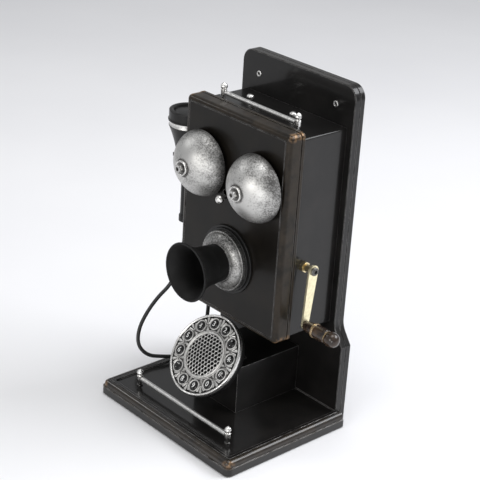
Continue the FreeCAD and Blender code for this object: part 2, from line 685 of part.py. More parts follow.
def make_hook():
    back = cell("receiver_back")
    height = cell("hook_height")
    inner = cell("box_wall") - HALF_BOX
    pivot = cell("hook_pivot")
    pin_height = height + 1.5
    fork = new_body("hook_fork")
    plan = sketch_on(fork, "XY_Plane", height)
    centre = -cell("receiver_side")
    tip = centre - 4.0
    gap = 13.1
    arm = 3.4
    shank = 3.4
    outline(plan, [
        (-30.0, -back - shank), (-30.0, -back + shank), (centre + 15.6, -back + shank),
        (centre, -back + gap + arm, 0.35), (tip, -back + gap + arm), (tip, -back + gap, END_BULGE),
        (centre, -back + gap), (centre, -back - gap, -END_BULGE), (tip, -back - gap),
        (tip, -back - gap - arm, END_BULGE), (centre, -back - gap - arm),
        (centre + 15.6, -back - shank, 0.35)])
    pad(fork, plan, 3.0)
    boss = rod("hook_boss", 3.0, shank * 2, (-pivot, -back + shank, pin_height), TO_FRONT)
    bore = rod("hook_bore", 1.05, 30.0, (-pivot, -back + 15.0, pin_height), TO_FRONT)
    node(cut("hook_lever", joined("hook_lever_body", [fork, boss]), bore))
    wide = 8.0
    plate = box("hook_plate", (inner, -back - wide, height - 16.0),
                (inner + 1.8, -back + wide, height + 12.0))
    window = box("hook_window", (inner - 1.0, -back - SLOT_HALF, height - 1.0),
                 (inner + 3.0, -back + SLOT_HALF, height + 8.0))
    cheeks = [box(f"hook_cheek_{name}", (inner, -back + low, height - 3.0),
                  (-pivot + 4.0, -back + low + 1.8, height + 6.0))
              for name, low in (("front", -6.2), ("rear", 4.4))]
    shelf = box("hook_shelf", (inner, -back - 6.2, height - 16.0), (-24.0, -back + 6.2, height - 14.2))
    pin_hole = rod("hook_pin_hole", 1.05, 30.0, (-pivot, -back + 15.0, pin_height), TO_FRONT)
    frame = joined("hook_bracket_body", [plate, shelf] + cheeks)
    node(cut("hook_bracket", frame, joined("hook_bracket_cuts", [window, pin_hole])))
    switch = box("hook_switch_case", (-42.0, -back - 4.0, height - 14.1), (-25.0, -back + 4.0, height - 6.0))
    plunger = box("hook_switch_plunger", (-33.0, -back - 1.4, height - 6.0),
                  (-30.0, -back + 1.4, height - 3.9))
    node(joined("hook_switch", [switch, plunger]))
    pins = [rod("hook_pin", 1.0, 16.0, (-pivot, -back + 8.0, pin_height), TO_FRONT),
            rod("armature_pin", 1.0, 32.0, (0, -cell("clapper_pivot"), cell("clapper_height") - 16.0))]
    node(group("pivot_pins", pins))


def make_receiver():
    axis = (-cell("receiver_side"), -cell("receiver_back"), 0)
    top = cell("receiver_top")
    radius = cell("receiver_radius")
    end = cell("receiver_end")
    seat = cell("hook_height") + 3.0
    node(turned("ear_cap", [
        (0, top - 4.6), (0, top - 1.6), (APEX, top - 1.6), (14.6, top - 2.6, -0.03), (15.6, top - 3.2),
        (16.6, top - 0.8), (18.6, top), (20.4, top - 0.3), (radius - 0.4, top - 1.6, -0.3),
        (radius - 0.5, top - 9.6), (radius + 0.3, top - 10.0), (radius + 0.3, top - 11.4),
        (19.4, top - 11.4), (19.4, top - 4.6)], axis))
    node(turned("receiver_speaker", [
        (0, top - 11.4), (18.6, top - 11.4), (18.6, top - 7.2), (16.0, top - 6.2), (0, top - 6.2)], axis))
    node(turned("receiver_band", [
        (16.4, top - 16.6), (20.6, top - 16.6), (20.2, top - 14.2), (20.2, top - 11.4), (16.4, top - 11.4)],
        axis))
    node(turned("receiver_shell", [
        (0, end), (6.2, end), (7.0, end + 1.2, 0.3), (7.0, end + 6.4), (6.2, end + 7.6, 0.3),
        (5.9, end + 9.0), (5.9, end + 52.0), (8.4, seat - 9.0, -0.08), (12.5, seat),
        (radius - 0.6, top - 17.2, -0.06),
        (radius - 0.6, top - 16.6), (18.0, top - 16.6), (10.4, seat + 3.0), (4.0, seat - 8.0),
        (4.0, end + 12.0), (0, end + 12.0)], axis))


# ---------------------------------------------------------------- rails and binding posts

def post_profile():
    """A turned post: a foot, a slim stem, a collar that carries the rod, and a beehive finial."""
    rise = cell("post_rise")
    collar = cell("rod_rise")
    return [(0, 0), (3.2, 0), (3.2, 0.9), (1.9, 1.6), (1.7, collar - 3.6), (3.1, collar - 3.0),
            (3.1, collar + 2.6), (2.2, collar + 3.2), (2.4, collar + 3.8), (3.5, collar + 5.6, 0.25),
            (3.3, collar + 7.0, 0.2), (1.6, rise - 0.9, 0.25), (APEX, rise, 0.2), (0, rise)]


def make_rails():
    feet = [(side * cell("top_rail"), -cell("top_rail_back"), cell("box_top")) for side in (-1, 1)]
    feet += [(side * cell("base_rail"), -cell("base_rail_back"), cell("deck_top")) for side in (-1, 1)]
    posts = [turned(f"rail_post_{n}", post_profile(), foot) for n, foot in enumerate(feet, start=1)]
    node(group("rail_posts", posts))
    for label, half, back, floor in (
            ("top_rail_rod", cell("top_rail"), cell("top_rail_back"), cell("box_top")),
            ("base_rail_rod", cell("base_rail"), cell("base_rail_back"), cell("deck_top"))):
        start = (3.12 - half, -back, floor + cell("rod_rise"))
        node(rod(label, cell("rod_radius"), half * 2 - 6.24, start, TO_RIGHT))


def make_binding_posts():
    profile = [(0, 0), (3.0, 0), (3.0, 1.0), (1.8, 2.0), (1.8, 4.4), (3.2, 5.4), (3.6, 7.2, 0.2),
               (2.4, 9.6, 0.3), (APEX, 10.2, 0.1), (0, 10.2)]
    knobs = [turned(f"binding_post_{name}", profile, (30.0 * side, -32.0, cell("box_top")))
             for name, side in (("left", -1), ("right", 1))]
    node(group("binding_posts", knobs))


# ---------------------------------------------------------------- circuit board, jack and gland

def make_electrics():
    inner = cell("box_wall")
    board = box("main_board_plate", (-45.0, -(inner + 6.6), 118.0), (45.0, -(inner + 5.0), 200.0))
    spacers = [box(f"main_board_spacer_{n}", (x, -(inner + 5.0), z), (x + 5.0, -inner, z + 5.0))
               for n, (x, z) in enumerate(((-44.0, 119.0), (39.0, 119.0), (-44.0, 194.0), (39.0, 194.0)))]
    chips = [box("main_board_chip", (-8.0, -(inner + 9.0), 150.0), (14.0, -(inner + 6.6), 158.0)),
             box("main_board_relay", (20.0, -(inner + 16.0), 128.0), (36.0, -(inner + 6.6), 140.0)),
             rod("main_board_capacitor", 5.0, 12.0, (-25.0, -(inner + 6.6), 134.0), TO_FRONT)]
    node(joined("main_board", [board] + spacers + chips))
    case = box("line_jack_case", (-HALF_BOX, -JACK_BACK - JACK_HALF, JACK_HEIGHT - JACK_HALF),
               (15.0 - HALF_BOX, JACK_HALF - JACK_BACK, JACK_HEIGHT + JACK_HALF))
    socket = box("line_jack_socket", (-HALF_BOX - 1.0, -JACK_BACK - 4.9, JACK_HEIGHT - 3.4),
                 (11.0 - HALF_BOX, 4.9 - JACK_BACK, JACK_HEIGHT + 3.4))
    latch = box("line_jack_latch", (-HALF_BOX - 1.0, -JACK_BACK - 3.1, JACK_HEIGHT - 5.4),
                (11.0 - HALF_BOX, 3.1 - JACK_BACK, JACK_HEIGHT - 3.3))
    node(cut("line_jack", case, joined("line_jack_cuts", [socket, latch])))
    node(turned("cord_gland", [
        (0, 0), (2.6, 0), (4.3, 10.6), (6.2, 10.8), (6.2, 13.0), (3.4, 13.0), (3.4, 17.6), (0, 17.6)],
        (-cell("gland_side"), -cell("gland_back"), cell("box_low") - 13.0)))


# ---------------------------------------------------------------- dial

DIAL_TURN = Rotation(Vector(1, 0, 0), DRIVING["dial_tilt"])
KEY_NAMES = ("2", "1", "star", "hash", "0", "9", "8", "7", "6", "5", "4", "3")


def dial_place(right=0.0, up=0.0, out=0.0):
    """A point of the tilted dial: to the right, up its face and out along its normal."""
    sine = Size(math.sin(math.radians(DRIVING["dial_tilt"])), "sin(sizes.dial_tilt * 1deg)")
    cosine = Size(math.cos(math.radians(DRIVING["dial_tilt"])), "cos(sizes.dial_tilt * 1deg)")
    up = as_size(up)
    out = as_size(out)
    return (as_size(right), up * cosine - out * sine - cell("dial_back"),
            up * sine + out * cosine + cell("dial_height"))


def make_dial_block():
    """The block behind the dial with a narrower nose that slopes to the dial's back."""
    item = new_body("dial_block")
    side = cell("block_width") / 2
    front = -cell("block_front")
    top = cell("block_top")
    deck = cell("deck_top")
    block = sketch_on(item, "YZ_Plane", -side)
    outline(block, [(front, deck), (0, deck), (0, top), (front, top)])
    pad(item, block, side * 2)
    nose_half = 20.0
    nose = sketch_on(item, "YZ_Plane", -nose_half)
    back = -13.1
    high = dial_place(up=22.0, out=back)
    low = dial_place(up=-16.0, out=back)
    outline(nose, [(front + 1.0, top - 19.0), (front + 1.0, top - 1.0), (front + 22.0, top - 1.0),
                   (front + 22.0, top), (high[1], high[2]), (low[1], low[2])])
    pad(item, nose, nose_half * 2)
    node(item)


def make_dial():
    radius = cell("dial_radius")
    circle_radius = cell("key_circle")
    face = turned("dial_face", [
        (24.7, -3.0), (radius, -3.0), (radius, 0.4), (radius - 0.8, 1.1, 0.3), (radius - 2.0, 0.4, 0.3),
        (radius - 2.2, 0), (24.7, 0)], dial_place(), DIAL_TURN)
    collars = sketch_on(face, "XY_Plane")
    step = math.radians(30.0)
    first = math.radians(15.0)
    spots = [(circle_radius * math.sin(first + step * k), circle_radius * math.cos(first + step * k))
             for k in range(12)]
    for x, y in spots:
        circle(collars, x, y, 6.3)
    pad(face, collars, 0.9)
    holes = sketch_on(face, "XY_Plane", 1.0)
    for x, y in spots:
        circle(holes, x, y, cell("key_radius") + 0.3)
    pocket(face, holes, 5.0)
    node(face)
    node(turned("dial_medallion", [
        (0, -4.6), (25.6, -4.6), (25.6, -3.0), (24.4, -3.0), (24.4, 0.8), (23.6, 1.5, 0.3), (22.6, 0.9, 0.3),
        (22.2, 0.5), (APEX, 2.2, 0.04), (0, 2.2)], dial_place(), DIAL_TURN))
    node(turned("dial_housing", [
        (0, -13.0), (37.0, -13.0), (41.4, -9.5, 0.2), (42.9, -4.0), (42.9, -3.0), (40.6, -3.0), (40.6, -4.0),
        (39.6, -8.8), (36.4, -11.0, -0.2), (0, -11.0)], dial_place(), DIAL_TURN))
    node(turned("dial_board", [
        (0, -11.0), (35.8, -11.0), (35.8, -9.3), (0, -9.3)], dial_place(), DIAL_TURN))
    key = cell("key_radius")
    for name, (x, y) in zip(KEY_NAMES, spots):
        cap = [(0, -7.7), (2.6, -7.7), (2.6, -5.2), (5.9, -5.2), (5.9, -3.4), (key, -3.4), (key, 0.3),
               (key - 0.7, 1.1, 0.3), (APEX, 1.8, 0.08), (0, 1.8)]
        node(turned(f"key_{name}", cap, dial_place(x, y), DIAL_TURN))


# ---------------------------------------------------------------- cord

CORD_ROUTE = [
    (-99.0, -48.5, 169.0), (-99.0, -48.5, 152.0), (-99.6, -49.6, 132.0), (-102.0, -53.0, 112.0),
    (-106.4, -60.0, 94.0), (-110.6, -71.5, 82.5), (-113.0, -84.0, 67.0), (-113.0, -94.5, 50.0),
    (-108.0, -99.0, 34.5), (-100.0, -92.0, 23.6), (-93.0, -78.0, 21.0), (-87.0, -63.0, 18.8),
    (-77.6, -46.6, 18.4), (-68.6, -41.0, 30.0), (-65.0, -41.6, 47.0), (-63.0, -44.0, 65.0),
    (-60.0, -45.0, 81.6), (-60.0, -45.0, 96.0)]
ARC_SHARE = 0.45


def make_cord():
    """The receiver's cord: straight runs joined by tangent arcs as large as the runs allow."""
    points = [Vector(*p) for p in CORD_ROUTE]
    edges = []
    start = points[0]
    for before, corner, after in zip(points, points[1:], points[2:]):
        into = (corner - before).normalize()
        out = (after - corner).normalize()
        turn = into.getAngle(out)
        reach = ARC_SHARE * min((corner - before).Length, (after - corner).Length)
        radius = reach / math.tan(turn / 2)
        print(f"cord arc radius {radius:.1f}, turn {math.degrees(turn):.0f}")
        enter = corner - into * reach
        leave = corner + out * reach
        inward = (out - into).normalize()
        middle = corner + inward * (radius / math.cos(turn / 2) - radius)
        edges.append(Part.LineSegment(start, enter).toShape())
        edges.append(Part.Arc(enter, middle, leave).toShape())
        start = leave
    edges.append(Part.LineSegment(start, points[-1]).toShape())
    path = Part.Wire(edges)
    thick = DRIVING["cord_radius"]
    section = Part.Wire(Part.Circle(points[0], (points[1] - points[0]).normalize(), thick).toShape())
    tube = path.makePipeShell([section], True, True)
    item = doc.addObject("Part::Feature", "receiver_cord")
    item.Label = "receiver_cord"
    item.Shape = tube
    expected = math.pi * thick * thick * path.Length
    print(f"cord length {path.Length:.1f}, volume {tube.Volume:.1f} against {expected:.1f}")
    node(item)


def check_and_write():
    doc.recompute()
    for item in doc.Objects:
        if "Invalid" in item.State or "Error" in item.State:
            raise RuntimeError(f"{item.Label} failed: {item.State}")
    for item in nodes:
        if item.Shape.isNull() or not item.Shape.isValid():
            raise RuntimeError(f"{item.Label} has no valid shape")
    os.makedirs("parts", exist_ok=True)
    for item in nodes:
        item.Shape.exportStep(f"parts/{item.Label}.step")
    print(len(nodes), "pieces written")


make_base()
make_base_felt()
make_boards()
make_eyelets()
make_assembly_screws()
make_housing()
make_front_cover()
make_gongs()
make_ringer()
make_transmitter()
make_crank()
make_hook()
make_receiver()
make_rails()
make_binding_posts()
make_electrics()
make_dial_block()
make_dial()
make_cord()
check_and_write()
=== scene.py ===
import bmesh
import bpy
import math
from mathutils import Matrix, Vector, noise


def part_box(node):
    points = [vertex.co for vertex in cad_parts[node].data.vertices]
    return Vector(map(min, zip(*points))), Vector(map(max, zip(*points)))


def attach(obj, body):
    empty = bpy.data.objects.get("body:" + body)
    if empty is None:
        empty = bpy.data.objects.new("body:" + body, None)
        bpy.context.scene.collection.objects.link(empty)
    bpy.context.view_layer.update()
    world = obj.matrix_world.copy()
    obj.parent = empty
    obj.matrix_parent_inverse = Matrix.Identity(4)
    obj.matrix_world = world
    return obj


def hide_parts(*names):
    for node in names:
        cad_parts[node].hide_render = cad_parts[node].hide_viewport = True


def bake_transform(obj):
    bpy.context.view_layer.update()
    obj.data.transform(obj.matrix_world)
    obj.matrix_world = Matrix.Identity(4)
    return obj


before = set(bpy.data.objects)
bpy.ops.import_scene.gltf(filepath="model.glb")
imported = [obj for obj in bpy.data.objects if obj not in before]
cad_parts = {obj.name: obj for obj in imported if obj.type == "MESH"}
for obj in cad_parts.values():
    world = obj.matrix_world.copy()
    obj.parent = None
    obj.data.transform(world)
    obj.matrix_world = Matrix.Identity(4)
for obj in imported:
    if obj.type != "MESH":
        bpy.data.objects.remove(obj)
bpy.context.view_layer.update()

MM = 0.001


# ---------------------------------------------------------------- camera, light and floor

def make_camera():
    lens = bpy.data.cameras.new("camera")
    lens.sensor_width = 36.0
    lens.lens = 106.75
    camera = bpy.data.objects.new("camera", lens)
    camera.location = (0.92596, -0.92758, 0.75749)
    camera.rotation_euler = [math.radians(turn) for turn in (65.744, -3.288, 48.410)]
    bpy.context.scene.collection.objects.link(camera)
    bpy.context.scene.camera = camera


def add_light(name, place, aim, size, power, colour=(1.0, 1.0, 1.0)):
    light = bpy.data.lights.new(name, "AREA")
    light.shape = "RECTANGLE"
    light.size, light.size_y = size
    light.energy = power
    light.color = colour
    item = bpy.data.objects.new(name, light)
    item.location = place
    item.rotation_euler = (Vector(aim) - Vector(place)).to_track_quat("-Z", "Y").to_euler()
    bpy.context.scene.collection.objects.link(item)


def make_light():
    world = bpy.data.worlds.new("studio")
    world.use_nodes = True
    background = world.node_tree.nodes["Background"]
    background.inputs["Color"].default_value = (0.93, 0.94, 0.96, 1.0)
    background.inputs["Strength"].default_value = 0.50
    bpy.context.scene.world = world
    bpy.context.scene.view_settings.view_transform = "Standard"
    middle = (0.0, -0.05, 0.17)
    add_light("window", (0.25, -1.7, 0.72), middle, (0.9, 0.8), 8.0, (1.0, 0.99, 0.97))
    add_light("top", (0.15, -0.1, 1.9), middle, (1.1, 1.1), 12.0)
    add_light("rear", (0.75, 0.95, 1.3), middle, (1.2, 0.8), 22.0, (0.96, 0.97, 1.0))
    add_light("left", (-1.15, -0.65, 1.1), middle, (0.3, 0.25), 1.6)
    add_light("low", (1.05, -1.25, 0.2), middle, (0.35, 0.35), 3.2)


# ---------------------------------------------------------------- meshes

def finished(name, mesh, material, body, smooth=True, nodes=()):
    """Turns mesh data, in metres in the phone's frame, into a piece that rides on a body."""
    for face in mesh.polygons:
        face.use_smooth = smooth
    mesh.materials.append(material)
    item = bpy.data.objects.new(name, mesh)
    bpy.context.scene.collection.objects.link(item)
    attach(item, body)
    if nodes:
        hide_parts(*nodes)
    return item


def rounded(points, steps=8):
    """Points (x, y) of a section, with an arc for each (x, y, bulge): the bulge is tan(turn / 4)."""
    line = [Vector(points[0][:2])]
    for previous, point in zip(points, points[1:]):
        start = Vector(previous[:2])
        end = Vector(point[:2])
        if len(point) == 2:
            line.append(end)
            continue
        turn = 4 * math.atan(point[2])
        chord = end - start
        radius = chord.length / (2 * math.sin(turn / 2))
        centre = (start + end) / 2 + Vector((-chord.y, chord.x)).normalized() * radius * math.cos(turn / 2)
        spoke = start - centre
        for step in range(1, steps + 1):
            angle = turn * step / steps
            line.append(centre + Vector((spoke.x * math.cos(angle) - spoke.y * math.sin(angle),
                                         spoke.x * math.sin(angle) + spoke.y * math.cos(angle))))
    return line


def lathe(name, section, at, segments=128, closed=True):
    """A turned mesh: the section's (radius, height) points in millimetres swept round at's Z axis."""
    line = [point * MM for point in section]
    mesh = bmesh.new()
    rings = []
    for point in line:
        if point.x < 1e-7:
            rings.append([mesh.verts.new(at @ Vector((0, 0, point.y)))])
            continue
        rings.append([mesh.verts.new(at @ Vector((point.x * math.cos(a), point.x * math.sin(a), point.y)))
                      for a in (2 * math.pi * k / segments for k in range(segments))])
    pairs = list(zip(rings, rings[1:]))
    if closed:
        pairs.append((rings[-1], rings[0]))
    for low, high in pairs:
        if len(low) == 1 and len(high) == 1:
            continue
        for k in range(segments):
            after = (k + 1) % segments
            if len(low) == 1:
                corners = (low[0], high[after], high[k])
            elif len(high) == 1:
                corners = (low[k], low[after], high[0])
            else:
                corners = (low[k], low[after], high[after], high[k])
            mesh.faces.new(corners)
    bmesh.ops.recalc_face_normals(mesh, faces=mesh.faces)
    data = bpy.data.meshes.new(name)
    mesh.to_mesh(data)
    mesh.free()
    return data


def crease(item, angle=35.0):
    """Keeps the turned piece's real edges sharp while its curves stay smooth."""
    limit = math.radians(angle)
    mesh = bmesh.new()
    mesh.from_mesh(item.data)
    for edge in mesh.edges:
        edge.smooth = len(edge.link_faces) != 2 or edge.calc_face_angle(0.0) < limit
    mesh.to_mesh(item.data)
    mesh.free()
    return item


# ---------------------------------------------------------------- materials

class Paint:
    """A procedural material: a Principled shader with its node tree built by short calls."""

    def __init__(self, name, **settings):
        self.material = bpy.data.materials.new(name)
        self.material.use_nodes = True
        self.tree = self.material.node_tree
        self.shader = self.tree.nodes["Principled BSDF"]
        for key, value in settings.items():
            self.shader.inputs[key.replace("_", " ")].default_value = value
        self.place = self.node("ShaderNodeTexCoord").outputs["Object"]

    def node(self, kind, **settings):
        made = self.tree.nodes.new(kind)
        for key, value in settings.items():
            setattr(made, key, value)
        return made

    def feed(self, socket, value):
        if isinstance(value, bpy.types.NodeSocket):
            self.tree.links.new(value, socket)
        elif value is not None:
            socket.default_value = value

    def noise(self, scale, detail=4.0, rough=0.55, stretch=None):
        made = self.node("ShaderNodeTexNoise")
        place = self.place
        if stretch:
            shift = self.node("ShaderNodeMapping")
            self.feed(shift.inputs["Vector"], place)
            shift.inputs["Scale"].default_value = stretch
            place = shift.outputs["Vector"]
        self.feed(made.inputs["Vector"], place)
        made.inputs["Scale"].default_value = scale
        made.inputs["Detail"].default_value = detail
        made.inputs["Roughness"].default_value = rough
        return made.outputs["Fac"]

    def ramp(self, value, *stops):
        made = self.node("ShaderNodeValToRGB")
        self.feed(made.inputs["Fac"], value)
        ramp = made.color_ramp
        while len(ramp.elements) < len(stops):
            ramp.elements.new(0.5)
        for element, (position, colour) in zip(ramp.elements, stops):
            element.position = position
            shade = colour if hasattr(colour, "__len__") else (colour,) * 3
            element.color = (*shade, 1.0)
        return made.outputs["Color"]

    def math(self, operation, a, b=None):
        made = self.node("ShaderNodeMath", operation=operation)
        self.feed(made.inputs[0], a)
        self.feed(made.inputs[1], b)
        return made.outputs["Value"]

    def mix(self, share, a, b):
        made = self.node("ShaderNodeMix", data_type="RGBA")
        self.feed(made.inputs["Factor"], share)
        self.feed(made.inputs["A"], a)
        self.feed(made.inputs["B"], b)
        return made.outputs["Result"]

    def axes(self):
        made = self.node("ShaderNodeSeparateXYZ")
        self.feed(made.inputs["Vector"], self.place)
        return made.outputs["X"], made.outputs["Y"], made.outputs["Z"]

    def band(self, value, low, high):
        """0 at low and 1 at high, or the other way round if low is above high."""
        made = self.node("ShaderNodeMapRange", interpolation_type="SMOOTHSTEP")
        self.feed(made.inputs["Value"], value)
        self.feed(made.inputs["From Min"], min(low, high))
        self.feed(made.inputs["From Max"], max(low, high))
        made.inputs["To Min"].default_value = 0.0 if low < high else 1.0
        made.inputs["To Max"].default_value = 1.0 if low < high else 0.0
        return made.outputs["Result"]

    def colour(self, value):
        self.feed(self.shader.inputs["Base Color"], value)

    def rough(self, value):
        self.feed(self.shader.inputs["Roughness"], value)

    def metal(self, value):
        self.feed(self.shader.inputs["Metallic"], value)

    def soft_edges(self, radius):
        """The surface's direction with its edges rounded, and a mask of those edges."""
        made = self.node("ShaderNodeBevel", samples=6)
        made.inputs["Radius"].default_value = radius
        flat = self.node("ShaderNodeNewGeometry").outputs["True Normal"]
        likeness = self.node("ShaderNodeVectorMath", operation="DOT_PRODUCT")
        self.feed(likeness.inputs[0], made.outputs["Normal"])
        self.feed(likeness.inputs[1], flat)
        return made.outputs["Normal"], self.band(likeness.outputs["Value"], 0.985, 0.86)

    def bump(self, height, depth, strength=1.0, normal=None):
        made = self.node("ShaderNodeBump")
        made.inputs["Distance"].default_value = depth
        made.inputs["Strength"].default_value = strength
        self.feed(made.inputs["Height"], height)
        self.feed(made.inputs["Normal"], normal)
        self.feed(self.shader.inputs["Normal"], made.outputs["Normal"])


BLACK = (0.0062, 0.0058, 0.0056)
BLACK_WORN = (0.013, 0.012, 0.0112)
BRONZE = (0.036, 0.028, 0.020)
COPPER = (0.24, 0.145, 0.075)
# Colour of the painted highlight along the paint's rounded edges.
EDGE_HIGHLIGHT_PALE = (0.46, 0.45, 0.44)
EDGE_ROUND = 0.0009
# Dark colour for tarnish on the posts' feet and for the painted shade on the washers about the gong nuts.
TARNISH_AND_SHADE = (0.05, 0.048, 0.046)
COVER_TINT = (0.80, 0.70, 0.56)


def black_paint(name, rub=None, pale=0.7, coat=0.45, tint=(1.0, 1.0, 1.0)):
    """Satin black paint over fibreboard: brush marks, painted edge highlights, and bronze rubbed through.
    """
    paint = Paint(name, IOR=1.5, Specular_IOR_Level=0.12, Coat_Weight=coat, Coat_Roughness=0.13)
    cloud = paint.noise(28.0, 5.0)
    grain = paint.noise(900.0, 3.0, 0.6)
    dark, worn_dark = (tuple(a * b for a, b in zip(shade, tint)) for shade in (BLACK, BLACK_WORN))
    body = paint.mix(paint.band(cloud, 0.35, 0.75), (*dark, 1.0), (*worn_dark, 1.0))
    scuff = paint.noise(160.0, 6.0, 0.7, (1.0, 1.0, 0.35))
    specks = paint.band(scuff, 0.70, 0.76)
    body = paint.mix(paint.math("MULTIPLY", specks, 0.35), body, (0.06, 0.052, 0.045, 1.0))
    # Painted highlight: the rounded edges are painted pale and partly metallic, in broken patches, for the
    # glint of light along them.
    rounded_edge, edge = paint.soft_edges(EDGE_ROUND)
    highlight_patches = paint.band(paint.noise(90.0, 5.0, 0.6), 0.30, 0.55)
    painted_edge_highlight = paint.math("MULTIPLY", edge, paint.math("MULTIPLY", highlight_patches, pale))
    body = paint.mix(painted_edge_highlight, body, (*EDGE_HIGHLIGHT_PALE, 1.0))
    metal = paint.math("MULTIPLY", painted_edge_highlight, 0.7)
    if rub:
        frame_mask, corner_mask = rub(paint)
        patchy = paint.band(paint.noise(60.0, 6.0, 0.65), 0.30, 0.62)
        worn = paint.math("MULTIPLY", frame_mask, patchy)
        bare = paint.math("MULTIPLY", corner_mask, paint.band(paint.noise(210.0, 5.0, 0.6), 0.38, 0.60))
        body = paint.mix(paint.math("MULTIPLY", worn, 0.75), body, (*BRONZE, 1.0))
        body = paint.mix(bare, body, (*COPPER, 1.0))
        rubbed = paint.math("ADD", paint.math("MULTIPLY", worn, 0.25), paint.math("MULTIPLY", bare, 0.5))
        metal = paint.math("MAXIMUM", metal, rubbed)
    paint.colour(body)
    paint.metal(metal)
    paint.rough(paint.ramp(cloud, (0.3, 0.30), (0.7, 0.40)))
    height = paint.math("ADD", paint.math("MULTIPLY", grain, 0.3), scuff)
    paint.bump(height, 0.00009, 0.35, rounded_edge)
    return paint.material


def cover_rub(paint):
    """The cover's moulded border, and its four corners."""
    low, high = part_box("front_cover")
    x, _, z = paint.axes()
    across = paint.math("SUBTRACT", paint.math("ABSOLUTE", x), high.x)
    from_middle = paint.math("ABSOLUTE", paint.math("SUBTRACT", z, (low.z + high.z) / 2))
    along = paint.math("SUBTRACT", from_middle, (high.z - low.z) / 2)
    border = paint.band(paint.math("MAXIMUM", across, along), -0.0056, -0.0040)
    corner = paint.band(paint.math("ADD", across, along), -0.0085, -0.0035)
    return border, corner


def base_rub(paint):
    """The base's moulded rim above its plinth, and its front corners."""
    low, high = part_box("base")
    x, y, z = paint.axes()
    across = paint.math("SUBTRACT", paint.math("ABSOLUTE", x), high.x)
    front = paint.math("SUBTRACT", low.y, y)
    border = paint.band(paint.math("MAXIMUM", across, front), -0.0085, -0.0060)
    corner = paint.band(paint.math("ADD", across, front), -0.013, -0.006)
    rim = paint.math("MULTIPLY", border, paint.band(z, 0.006, 0.011))
    return rim, paint.math("MULTIPLY", corner, paint.band(z, 0.008, 0.012))


def board_rub(paint):
    """The backboard's top edge, polished paler by handling."""
    _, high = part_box("backboard_front")
    _, _, z = paint.axes()
    top = paint.band(paint.math("SUBTRACT", z, high.z), -0.0012, 0.0)
    return paint.math("MULTIPLY", top, 0.25), 0.0


def gong_middle(paint, outer, inner):
    """1 about each gong's axis, fading to 0 between the inner and the outer radius."""
    low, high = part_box("gong_right")
    x, _, z = paint.axes()
    across = paint.math("SUBTRACT", paint.math("ABSOLUTE", x), (low.x + high.x) / 2)
    up = paint.math("SUBTRACT", z, (low.z + high.z) / 2)
    radius = paint.math("SQRT", paint.math("ADD", paint.math("MULTIPLY", across, across),
                                           paint.math("MULTIPLY", up, up)))
    return paint.band(radius, outer, inner)


def aged_silver(name, bright, dark, scale, cover, rim=None):
    """Silvered metal, dark in cloudy patches and fine pits; a bell gets painted shade at rim and nut."""
    paint = Paint(name, Metallic=1.0)
    cloud = paint.noise(42.0 * scale, 6.0, 0.62)
    fine = paint.noise(420.0 * scale, 5.0, 0.7)
    pits = paint.noise(1300.0 * scale, 3.0, 0.6)
    tone = paint.math("ADD", paint.math("MULTIPLY", cloud, 0.42), paint.math("MULTIPLY", fine, 0.58))
    if rim:
        # Painted light on a bell: painted shade darkens the tone towards the rim and in the corner about
        # the nut, and the lift over the rest makes a painted highlight on the crown.
        _, depth, _ = paint.axes()
        shade = paint.math("MULTIPLY", paint.band(depth, rim - 0.025, rim), 0.17)
        tone = paint.math("SUBTRACT", paint.math("ADD", tone, 0.045), shade)
        corner = gong_middle(paint, 0.0104, 0.0080)
        tone = paint.math("SUBTRACT", tone, paint.math("MULTIPLY", corner, 0.22))
    between = [(a + b) / 2 for a, b in zip(bright, dark)]
    paint.colour(paint.ramp(tone, (cover - 0.12, dark), (cover - 0.02, between), (cover + 0.08, bright)))
    paint.rough(paint.ramp(tone, (0.35, 0.54), (0.65, 0.40)))
    paint.bump(paint.math("ADD", paint.math("MULTIPLY", pits, 0.4), fine), 0.00010, 0.45)
    return paint.material


def bright_silver(name, tarnish_and_shade=None):
    """Polished silvered metal, black where a mask of tarnish and painted shade says so."""
    paint = Paint(name, Metallic=1.0)
    cloud = paint.noise(260.0, 5.0, 0.6)
    colour = paint.ramp(cloud, (0.28, (0.30, 0.29, 0.28)), (0.42, (0.70, 0.69, 0.67)),
                        (0.7, (0.88, 0.87, 0.85)))
    if tarnish_and_shade:
        # Darkened by the mask: tarnish on the posts' feet, painted shade on the washers about the nuts.
        colour = paint.mix(paint.math("MULTIPLY", tarnish_and_shade(paint), 0.9), colour, (*TARNISH_AND_SHADE, 1.0))
    paint.colour(colour)
    paint.rough(paint.ramp(cloud, (0.3, 0.36), (0.7, 0.22)))
    paint.bump(paint.noise(900.0, 4.0), 0.00006, 0.4)
    return paint.material


def foot_tarnish(paint):
    """The feet of the two rail posts that stand on the base."""
    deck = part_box("rail_posts")[0].z
    _, _, z = paint.axes()
    return paint.band(z, deck + 0.0085, deck + 0.0055)


def washer_nut_shade(paint):
    """Painted shade on the washers' sunk middles, in the corner about the nuts."""
    return gong_middle(paint, 0.0064, 0.0057)


def plain_metal(name, colour, rough, spread=0.06, fade=0.62):
    paint = Paint(name, Metallic=1.0)
    cloud = paint.noise(320.0, 5.0, 0.6)
    dim = tuple(fade * value for value in colour)
    paint.colour(paint.ramp(cloud, (0.36, dim), (0.56, colour)))
    paint.rough(paint.ramp(cloud, (0.3, rough + spread), (0.7, rough)))
    paint.bump(paint.noise(1500.0, 3.0, 0.6, (1.0, 1.0, 0.2)), 0.00004, 0.35)
    return paint.material


def moulded(name, colour, rough, **settings):
    """Plastic or lacquer with a faint moulded texture and small handling marks."""
    paint = Paint(name, IOR=1.5, **settings)
    cloud = paint.noise(70.0, 5.0)
    paint.colour(paint.ramp(cloud, (0.35, tuple(0.8 * value for value in colour)), (0.7, colour)))
    paint.rough(paint.ramp(paint.noise(240.0, 5.0, 0.7), (0.35, rough + 0.07), (0.65, rough)))
    paint.bump(paint.noise(1600.0, 3.0), 0.00003, 0.4)
    return paint.material


